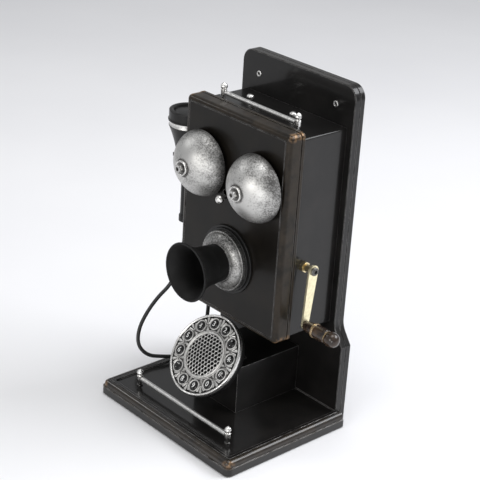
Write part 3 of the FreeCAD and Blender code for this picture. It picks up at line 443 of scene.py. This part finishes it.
def grip_lacquer():
    """Dark brown lacquer with golden lines worn on its beads."""
    paint = Paint("grip_lacquer", IOR=1.5, Specular_IOR_Level=0.25, Coat_Weight=0.45, Coat_Roughness=0.08)
    low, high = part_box("crank_grip")
    x, _, _ = paint.axes()
    along = paint.math("DIVIDE", paint.math("SUBTRACT", x, low.x), high.x - low.x)
    cloud = paint.noise(110.0, 5.0, 0.6)
    body = paint.ramp(cloud, (0.36, (0.012, 0.009, 0.008)), (0.68, (0.055, 0.034, 0.021)))
    ring = paint.math("MULTIPLY", paint.band(along, 0.26, 0.285), paint.band(along, 0.345, 0.315))
    groove = paint.math("MULTIPLY", paint.band(along, 0.655, 0.675), paint.band(along, 0.715, 0.70))
    patchy = paint.band(paint.noise(500.0), 0.38, 0.58)
    worn = paint.math("MULTIPLY", paint.math("ADD", ring, groove), patchy)
    paint.colour(paint.mix(worn, body, (0.50, 0.36, 0.19, 1.0)))
    paint.metal(paint.math("MULTIPLY", worn, 0.8))
    paint.rough(paint.ramp(cloud, (0.3, 0.28), (0.7, 0.20)))
    paint.bump(paint.noise(700.0, 4.0), 0.00004, 0.3)
    return paint.material


def felt():
    paint = Paint("felt", Sheen_Weight=0.5)
    nap = paint.noise(2400.0, 6.0, 0.8)
    paint.colour(paint.ramp(nap, (0.3, (0.012, 0.013, 0.012)), (0.7, (0.05, 0.052, 0.05))))
    paint.rough(paint.ramp(paint.noise(900.0), (0.3, 0.85), (0.7, 0.98)))
    paint.bump(paint.noise(3000.0, 5.0, 0.8), 0.0002, 0.6)
    return paint.material


def circuit_board():
    paint = Paint("circuit_board")
    tracks = paint.noise(500.0, 2.0)
    paint.colour(paint.ramp(tracks, (0.45, (0.012, 0.10, 0.035)), (0.55, (0.02, 0.15, 0.055))))
    paint.rough(paint.ramp(paint.noise(300.0), (0.3, 0.35), (0.7, 0.5)))
    paint.bump(paint.noise(800.0), 0.00005, 0.3)
    return paint.material


def floor_material():
    paint = Paint("floor", Roughness=0.6)
    cloud = paint.noise(1.6, 4.0, 0.5)
    paint.colour(paint.ramp(cloud, (0.3, (0.80, 0.80, 0.815)), (0.7, (0.86, 0.86, 0.87))))
    return paint.material


def use(material, *nodes):
    """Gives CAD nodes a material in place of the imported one."""
    for name in nodes:
        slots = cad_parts[name].data.materials
        slots.clear()
        slots.append(material)


# ---------------------------------------------------------------- cord

CORD_ROUTE = [
    (-99.0, -48.5, 169.0), (-99.0, -48.5, 152.0), (-99.6, -49.6, 132.0), (-102.0, -53.0, 112.0),
    (-106.4, -60.0, 94.0), (-110.6, -71.5, 82.5), (-113.0, -84.0, 67.0), (-113.0, -94.5, 50.0),
    (-108.0, -99.0, 34.5), (-100.0, -92.0, 23.6), (-93.0, -78.0, 21.0), (-87.0, -63.0, 18.8),
    (-77.6, -46.6, 18.4), (-68.6, -41.0, 30.0), (-65.0, -41.6, 47.0), (-63.0, -44.0, 65.0),
    (-60.0, -45.0, 81.6), (-60.0, -45.0, 96.0)]
CORD_RADIUS = 2.0 * MM


def route_line():
    """The cord's smooth line, as points on the spline that the route's points control."""
    curve = bpy.data.curves.new("cord_route", "CURVE")
    curve.dimensions = "3D"
    curve.resolution_u = 24
    spline = curve.splines.new("NURBS")
    spline.points.add(len(CORD_ROUTE) - 1)
    for point, place in zip(spline.points, CORD_ROUTE):
        point.co = (*(MM * value for value in place), 1.0)
    spline.order_u = 3
    spline.use_endpoint_u = True
    item = bpy.data.objects.new("cord_route", curve)
    bpy.context.scene.collection.objects.link(item)
    bpy.context.view_layer.update()
    mesh = bpy.data.meshes.new_from_object(item)
    line = [vertex.co.copy() for vertex in mesh.vertices]
    bpy.data.objects.remove(item)
    return line


def make_cord(material):
    """The receiver's cord: a round sheath along a fixed route between the phone and the receiver."""
    line = route_line()
    sides = 20
    mesh = bmesh.new()
    rings = []
    side = Vector((1, 0, 0))
    for index, place in enumerate(line):
        ahead = (line[min(index + 1, len(line) - 1)] - line[max(index - 1, 0)]).normalized()
        side = (side - ahead * side.dot(ahead)).normalized()
        other = ahead.cross(side)
        rings.append([mesh.verts.new(place + (side * math.cos(a) + other * math.sin(a)) * CORD_RADIUS)
                      for a in (2 * math.pi * k / sides for k in range(sides))])
    for low, high in zip(rings, rings[1:]):
        for k in range(sides):
            after = (k + 1) % sides
            mesh.faces.new((low[k], low[after], high[after], high[k]))
    mesh.faces.new(rings[0])
    mesh.faces.new(rings[-1])
    bmesh.ops.recalc_face_normals(mesh, faces=mesh.faces)
    data = bpy.data.meshes.new("receiver_cord_sheath")
    mesh.to_mesh(data)
    mesh.free()
    for face in data.polygons:
        face.use_smooth = len(face.vertices) == 4
    data.materials.append(material)
    item = bpy.data.objects.new("receiver_cord_sheath", data)
    bpy.context.scene.collection.objects.link(item)
    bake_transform(item)
    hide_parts("receiver_cord")


# ---------------------------------------------------------------- gongs

GONG_WALL = 1.6


def gong_section(radius, depth, wall, shoulder=20.0, bore=2.3):
    """A bell's closed section: a tight shoulder arc that meets the wide crown arc, outside and inside."""
    reach = radius - shoulder
    crown = (reach ** 2 + depth ** 2 - shoulder ** 2) / (2 * (depth - shoulder))
    rise = math.asin((crown - depth) / (crown - shoulder))
    points = []
    for inset in (0.0, wall):
        out = crown - inset
        knee = (out * math.cos(rise), depth - crown + out * math.sin(rise))
        top = (bore, depth - crown + math.sqrt(out ** 2 - bore ** 2))
        turn = math.pi / 2 - rise - math.asin(bore / out)
        points.append((knee, top, math.tan(turn / 4)))
    (knee, top, turn), (inner_knee, inner_top, inner_turn) = points
    flank = math.tan(rise / 4)
    lip = 0.35
    return rounded([
        (radius - wall, lip), (radius - wall + lip, 0), (radius - lip, 0), (radius, lip), (*knee, flank),
        (*top, turn), inner_top, (*inner_knee, -inner_turn), (radius - wall, lip, -flank)], 24)[:-1]


def make_gongs(material):
    for name in ("gong_left", "gong_right"):
        low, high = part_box(name)
        radius = (high.x - low.x) / 2 / MM
        depth = (high.y - low.y) / MM
        at = Matrix.Translation(((low.x + high.x) / 2, high.y, (low.z + high.z) / 2))
        at = at @ Matrix.Rotation(math.pi / 2, 4, "X")
        mesh = lathe(name + "_bell", gong_section(radius, depth, GONG_WALL), at, 160)
        crease(finished(name + "_bell", mesh, material, "root", nodes=(name,)))


# ---------------------------------------------------------------- dial

DIAL_TILT = math.radians(52.0)
DIAL_CENTRE = Vector((0.0, -0.100, 0.072))
DIAL = Matrix.Translation(DIAL_CENTRE) @ Matrix.Rotation(DIAL_TILT, 4, "X")
DIAL_FLOOR = -3.0
RIM_INNER = 40.0
RIM_OUTER = 42.3
FACE_INNER = 24.7
MEDALLION_EDGE = 22.3
HOOP_EDGE = 24.4
COLLAR_EDGE = 6.3
KEY_HOLE = 5.0
KEY_CIRCLE = 32.5
KEY_DOME = 4.0
KEY_NAMES = ("2", "1", "star", "hash", "0", "9", "8", "7", "6", "5", "4", "3")
KEY_STEP = math.radians(360.0 / len(KEY_NAMES))
FIRST_KEY = KEY_STEP / 2
MARK_SIZE = 7.2
STAR_SIZE = 11.0
MARK_LIFT = 0.07


def key_spot(index):
    """A key's middle on the dial's face, in millimetres: across and up."""
    angle = FIRST_KEY + KEY_STEP * index
    return Vector((KEY_CIRCLE * math.sin(angle), KEY_CIRCLE * math.cos(angle)))


def key_place(index):
    """A key's own frame: its middle on the dial's face, with Z along the dial's normal."""
    spot = key_spot(index) * MM
    return DIAL @ Matrix.Translation((spot.x, spot.y, 0))


def smooth_step(value, low, high):
    share = min(max((value - low) / (high - low), 0.0), 1.0)
    return share * share * (3 - 2 * share)


def palmette(across, out, lobes, reach):
    """A fan of rounded leaf lobes that opens from its root, with veins between them."""
    distance = math.hypot(across, out)
    bearing = math.atan2(across, out)
    if abs(bearing) > math.radians(80):
        return 0.0
    lobe = abs(math.cos(lobes * bearing / 2))
    tip = reach * (0.86 + 0.14 * lobe)
    return lobe ** 0.6 * smooth_step(distance, 0.15, 0.9) * (1 - smooth_step(distance, tip - 0.5, tip))


def face_relief(radius, angle):
    """Height of the cast leaf work between the keys, in millimetres."""
    nearest = round((angle - FIRST_KEY) / KEY_STEP)
    gap = math.floor((angle - FIRST_KEY) / KEY_STEP) + 0.5
    turn = angle - (FIRST_KEY + gap * KEY_STEP)
    across = radius * math.sin(turn)
    out = radius * math.cos(turn) - KEY_CIRCLE
    height = 0.75 * palmette(across, out + 0.6, 9, 8.0)
    height = max(height, 0.62 * palmette(across, -out - 0.9, 6, 6.4))
    spine = math.exp(-(across / 0.32) ** 2) * smooth_step(out, -6.6, -5.4)
    height = max(height, 0.6 * spine)
    spot_turn = angle - (FIRST_KEY + nearest * KEY_STEP)
    from_key = math.hypot(radius * math.sin(spot_turn), radius * math.cos(spot_turn) - KEY_CIRCLE)
    garland = math.exp(-((from_key - 7.15) / 0.32) ** 2) * 0.5
    height = max(height, garland) * smooth_step(from_key, COLLAR_EDGE - 0.2, COLLAR_EDGE + 0.4)
    grit = 0.05 * noise.noise(Vector((radius * math.sin(angle), radius * math.cos(angle), 0)) * 1.7)
    return height + grit - 0.15


def scale_relief(x, y):
    """Height of the middle's net of raised cell walls, in millimetres."""
    pitch = 4.3
    row_height = pitch * 0.84
    row = math.floor(y / row_height)
    spans = []
    for level in range(row - 1, row + 3):
        shift = 0.5 * pitch * (level % 2)
        column = math.floor((x - shift) / pitch)
        for step in (-1, 0, 1, 2):
            spot_x = (column + step) * pitch + shift
            spans.append(math.hypot(x - spot_x, (y - level * row_height) * 1.08))
    spans.sort()
    wall = 1 - smooth_step(spans[1] - spans[0], 0.30, 1.55)
    return 0.72 * wall - 0.42


def relief_mesh(name, rings, turns, inner, outer, height, keep=lambda x, y: True):
    """A round relief on the dial's face, with each point's height kept for its material."""
    mesh = bmesh.new()
    store = mesh.verts.layers.float.new("relief")
    grid = []
    for ring in range(rings + 1):
        radius = inner + (outer - inner) * ring / rings
        row = []
        for turn in range(turns):
            angle = 2 * math.pi * turn / turns
            raised = height(radius, angle)
            place = Vector((radius * math.sin(angle), radius * math.cos(angle), raised)) * MM
            vertex = mesh.verts.new(DIAL @ place)
            vertex[store] = raised
            row.append(vertex)
        grid.append(row)
    for ring in range(rings):
        radius = inner + (outer - inner) * (ring + 0.5) / rings
        for turn in range(turns):
            angle = 2 * math.pi * (turn + 0.5) / turns
            if keep(radius * math.sin(angle), radius * math.cos(angle)):
                after = (turn + 1) % turns
                mesh.faces.new((grid[ring][turn], grid[ring + 1][turn],
                                grid[ring + 1][after], grid[ring][after]))
    loose = [vertex for vertex in mesh.verts if not vertex.link_faces]
    bmesh.ops.delete(mesh, geom=loose, context="VERTS")
    data = bpy.data.meshes.new(name)
    mesh.to_mesh(data)
    mesh.free()
    return data


def relief_silver(name, low, high):
    """Cast silvered metal, dark in its hollows and rubbed bright on its high points."""
    paint = Paint(name, Metallic=1.0)
    height = paint.node("ShaderNodeAttribute", attribute_name="relief").outputs["Fac"]
    patches = paint.math("SUBTRACT", paint.noise(520.0, 5.0, 0.65), 0.5)
    grime = paint.math("MULTIPLY", patches, (high - low) * 0.9)
    level = paint.band(paint.math("ADD", height, grime), low, high)
    paint.colour(paint.ramp(level, (0.0, (0.012, 0.012, 0.012)), (0.4, (0.16, 0.157, 0.15)),
                            (0.85, (0.66, 0.65, 0.63))))
    paint.rough(paint.ramp(level, (0.0, 0.62), (1.0, 0.27)))
    paint.bump(paint.noise(1500.0, 4.0, 0.6), 0.00005, 0.4)
    return paint.material


def clear_of_keys(x, y):
    return all((Vector((x, y)) - key_spot(index)).length > COLLAR_EDGE - 0.7
               for index in range(len(KEY_NAMES)))


def dial_ring(name, section, material, segments, at=DIAL):
    crease(finished(name, lathe(name, section, at, segments), material, "root"))


def make_dial_face(silver, bright):
    """The cast face: leaf work between the keys, an outer rim, an inner lip and a collar for each key."""
    relief = relief_silver("dial_relief", -0.02, 0.70)
    leaves = relief_mesh("dial_leaf_relief", 64, 960, FACE_INNER + 0.2, RIM_INNER, face_relief,
                         clear_of_keys)
    finished("dial_leaf_relief", leaves, relief, "root", nodes=("dial_face",))
    rim = rounded([
        (RIM_OUTER, DIAL_FLOOR), (RIM_OUTER, 0.3), (RIM_OUTER - 0.9, 1.1, 0.35), (RIM_INNER, 0.1, 0.25),
        (RIM_INNER, DIAL_FLOOR)], 6)
    dial_ring("dial_rim", rim, bright, 192)
    lip = rounded([
        (FACE_INNER, DIAL_FLOOR), (FACE_INNER + 0.9, DIAL_FLOOR), (FACE_INNER + 0.9, 0.2),
        (FACE_INNER + 0.45, 0.55, 0.4), (FACE_INNER, 0.2, 0.4)], 6)
    dial_ring("dial_lip", lip, silver, 128)
    collar = rounded([
        (KEY_HOLE, DIAL_FLOOR), (COLLAR_EDGE, DIAL_FLOOR), (COLLAR_EDGE, 0.45),
        (COLLAR_EDGE - 0.5, 0.95, 0.4), (KEY_HOLE + 0.1, 0.6, 0.35), (KEY_HOLE, 0.3)], 6)
    for index, name in enumerate(KEY_NAMES):
        dial_ring(f"dial_collar_{name}", collar, silver, 64, key_place(index))


def medallion_dome(radius):
    """Height of the middle's dome above the dial's face, in millimetres."""
    return 2.0 - 1.5 * (radius / MEDALLION_EDGE) ** 2


def medallion_height(radius, angle):
    fade = 1 - smooth_step(radius, MEDALLION_EDGE - 1.2, MEDALLION_EDGE)
    net = scale_relief(radius * math.sin(angle), radius * math.cos(angle))
    return medallion_dome(radius) + net * fade


def make_medallion(silver):
    """The dial's domed middle: a net of raised cell walls inside a hoop."""
    disc = relief_mesh("medallion_net", 190, 560, 0.02, MEDALLION_EDGE, medallion_height)
    store = disc.attributes["relief"]
    for vertex, kept in zip(disc.vertices, store.data):
        place = DIAL.inverted() @ vertex.co / MM
        kept.value = kept.value - medallion_dome(math.hypot(place.x, place.y))
    net = relief_silver("medallion_net", -0.40, 0.26)
    finished("medallion_net", disc, net, "root", nodes=("dial_medallion",))
    hoop = rounded([
        (MEDALLION_EDGE - 0.4, DIAL_FLOOR), (HOOP_EDGE, DIAL_FLOOR), (HOOP_EDGE, 0.7), (23.5, 1.5, 0.4),
        (MEDALLION_EDGE - 0.2, 0.8, 0.4), (MEDALLION_EDGE - 0.4, 0.4)], 6)
    dial_ring("medallion_hoop", hoop, silver, 128)


def dome_height(distance):
    """Height of a key's dome above the dial's face at a distance from its middle, in millimetres."""
    return 1.8 - 0.70 * (distance / KEY_DOME) ** 2


def key_section():
    """A key's section: a stem, a flange that holds it behind the face, a straight side and a dome."""
    side = rounded([(0, -7.7), (2.6, -7.7), (2.6, -5.2), (5.9, -5.2), (5.9, -3.4), (4.7, -3.4), (4.7, 0.3),
                    (KEY_DOME, 1.1, 0.3)], 6)
    steps = 12
    reaches = [KEY_DOME * (1 - step / steps) for step in range(1, steps + 1)]
    return side + [Vector((reach, dome_height(reach))) for reach in reaches]


def key_mark(text, size):
    """The flat letter shape of a key's mark, in millimetres about its middle."""
    writing = bpy.data.curves.new("mark", "FONT")
    writing.body = text
    writing.size = size
    writing.align_x = "CENTER"
    writing.offset = 0.04
    holder = bpy.data.objects.new("mark", writing)
    bpy.context.scene.collection.objects.link(holder)
    bpy.context.view_layer.update()
    mark = bpy.data.meshes.new_from_object(holder)
    bpy.data.objects.remove(holder)
    xs = [vertex.co.x for vertex in mark.vertices]
    ys = [vertex.co.y for vertex in mark.vertices]
    mark.transform(Matrix.Translation((-(min(xs) + max(xs)) / 2, -(min(ys) + max(ys)) / 2, 0)))
    return mark


def make_keys(gloss, ink):
    """Twelve domed keys on flanged stems, each with its mark laid on the dome."""
    marks = {"star": "*", "hash": "#"}
    section = key_section()
    for index, name in enumerate(KEY_NAMES):
        at = key_place(index)
        cap = lathe(f"key_{name}_cap", section, at, 64, closed=False)
        body = f"button_{name}"
        crease(finished(f"key_{name}_cap", cap, gloss, body, nodes=(f"key_{name}",)))
        mark = key_mark(marks.get(name, name), STAR_SIZE if name == "star" else MARK_SIZE)
        for vertex in mark.vertices:
            height = dome_height(vertex.co.xy.length) + MARK_LIFT
            vertex.co = at @ (Vector((*vertex.co.xy, height)) * MM)
        mark.name = f"key_{name}_mark"
        finished(f"key_{name}_mark", mark, ink, body, smooth=False)


# ---------------------------------------------------------------- small fittings

def block(mesh, low, high):
    """Adds a closed box with its edges along the axes."""
    corners = [mesh.verts.new((x, y, z)) for x in (low[0], high[0]) for y in (low[1], high[1])
               for z in (low[2], high[2])]
    for face in ((0, 1, 3, 2), (4, 6, 7, 5), (0, 4, 5, 1), (2, 3, 7, 6), (0, 2, 6, 4), (1, 5, 7, 3)):
        mesh.faces.new([corners[index] for index in face])


def blocks(name, material, spans):
    """One piece of several boxes, each given by its lowest and highest corner in millimetres."""
    mesh = bmesh.new()
    for low, high in spans:
        block(mesh, [MM * value for value in low], [MM * value for value in high])
    data = bpy.data.meshes.new(name)
    mesh.to_mesh(data)
    mesh.free()
    finished(name, data, material, "root", smooth=False)


SCREW_SIDE = 50.0
SCREW_HEIGHTS = (130.0, 290.0)


def make_screw_crosses(material):
    """Painted shade for the cross recess in each screw head on the board's back: a thin near-black cross.
    """
    half = 0.45
    arm = 2.2
    front = 12.9
    back = 13.03
    spans = []
    for x in (-SCREW_SIDE, SCREW_SIDE):
        for z in SCREW_HEIGHTS:
            spans.append(((x - half, front, z - arm), (x + half, back, z + arm)))
            spans.append(((x - arm, front, z - half), (x + arm, back, z + half)))
    blocks("screw_crosses", material, spans)


def make_jack_contacts(material):
    """The four sprung contact wires in the line socket, side by side along the socket's roof."""
    first = -20.1
    pitch = 1.9
    width = 0.4
    wires = [first + pitch * k for k in range(4)]
    blocks("jack_contacts", material, [
        ((-69.4, wire, 126.2), (-60.4, wire + width, 126.6)) for wire in wires])


# ---------------------------------------------------------------- scene

def dress_painted_parts():
    use(black_paint("black_paint"), "housing", "dial_block")
    use(black_paint("base_paint", base_rub, 0.7, 0.7), "base")
    use(black_paint("cover_paint", cover_rub, 0.4, 0.18, COVER_TINT), "front_cover")
    use(black_paint("board_paint", board_rub), "backboard_front", "backboard_rear")
    use(felt(), "base_felt")


def dress_metal_parts(bright):
    use(bright, "binding_posts", "receiver_band", "eyelets", "clapper_ball")
    use(bright_silver("post_silver", foot_tarnish), "rail_posts")
    use(bright_silver("washer_silver", washer_nut_shade), "gong_washers")
    ring = aged_silver("ring_silver", (0.46, 0.455, 0.44), (0.045, 0.044, 0.043), 1.6, 0.53)
    use(ring, "mouthpiece_ring")
    satin = plain_metal("satin_silver", (0.66, 0.655, 0.64), 0.40, 0.05, 0.80)
    use(satin, "top_rail_rod", "base_rail_rod")
    use(plain_metal("brass", (0.80, 0.68, 0.42), 0.26), "crank_shaft", "crank_bushing")
    use(plain_metal("pale_brass", (0.95, 0.87, 0.60), 0.36, 0.04, 0.86), "crank_arm")
    steel = plain_metal("steel", (0.52, 0.51, 0.50), 0.30)
    use(steel, "ringer_frame", "clapper_armature", "pivot_pins", "crank_pin", "assembly_screws",
        "hook_bracket")
    use(plain_metal("dark_steel", (0.16, 0.155, 0.15), 0.34), "gong_posts", "crank_screw")
    use(plain_metal("nut_steel", (0.60, 0.595, 0.58), 0.28), "gong_nuts")
    use(plain_metal("hook_black", (0.06, 0.055, 0.052), 0.35), "hook_lever")


def dress_moulded_parts():
    plastic = moulded("black_plastic", (0.0085, 0.0082, 0.008), 0.36, Specular_IOR_Level=0.22,
                      Coat_Weight=0.2, Coat_Roughness=0.16)
    use(plastic, "transmitter_base", "transmitter_capsule", "receiver_shell", "ear_cap",
        "receiver_speaker", "hook_switch", "line_jack", "dial_housing", "ringer_coils")
    horn = moulded("horn_black", (0.0065, 0.0063, 0.0061), 0.46, Specular_IOR_Level=0.2)
    use(horn, "mouthpiece")
    use(grip_lacquer(), "crank_grip")
    use(circuit_board(), "main_board", "dial_board")


def make_dial(bright):
    gloss = moulded("key_black", (0.004, 0.004, 0.004), 0.12, Specular_IOR_Level=0.3, Coat_Weight=0.5,
                    Coat_Roughness=0.05)
    make_keys(gloss, moulded("mark_white", (0.92, 0.92, 0.90), 0.40))
    worn_silver = aged_silver("dial_silver", (0.72, 0.71, 0.69), (0.20, 0.195, 0.19), 2.0, 0.44)
    make_dial_face(worn_silver, bright)
    make_medallion(worn_silver)


def make_phone():
    """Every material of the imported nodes, and every piece that is added to them or stands for them."""
    bright = bright_silver("bright_silver")
    dress_painted_parts()
    dress_metal_parts(bright)
    dress_moulded_parts()
    make_dial(bright)
    # Near-black for the painted shade in the screw heads' cross recesses.
    make_screw_crosses(moulded("screw_recess_shade", (0.004, 0.004, 0.004), 0.5))
    make_jack_contacts(plain_metal("contact_gold", (0.83, 0.62, 0.27), 0.25))
    rubber = moulded("cord_sheath", (0.011, 0.011, 0.011), 0.42)
    use(rubber, "cord_gland")
    make_cord(rubber)
    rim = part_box("gong_left")[1].y
    make_gongs(aged_silver("gong_silver", (0.56, 0.555, 0.54), (0.11, 0.107, 0.103), 1.5, 0.46, rim))


def make_floor():
    reach = 6.0
    corners = [(-reach, -reach, 0), (reach, -reach, 0), (reach, reach, 0), (-reach, reach, 0)]
    mesh = bpy.data.meshes.new("floor")
    mesh.from_pydata(corners, [], [(0, 1, 2, 3)])
    mesh.materials.append(floor_material())
    item = bpy.data.objects.new("floor", mesh)
    bpy.context.scene.collection.objects.link(item)


make_camera()
make_light()
make_phone()
make_floor()
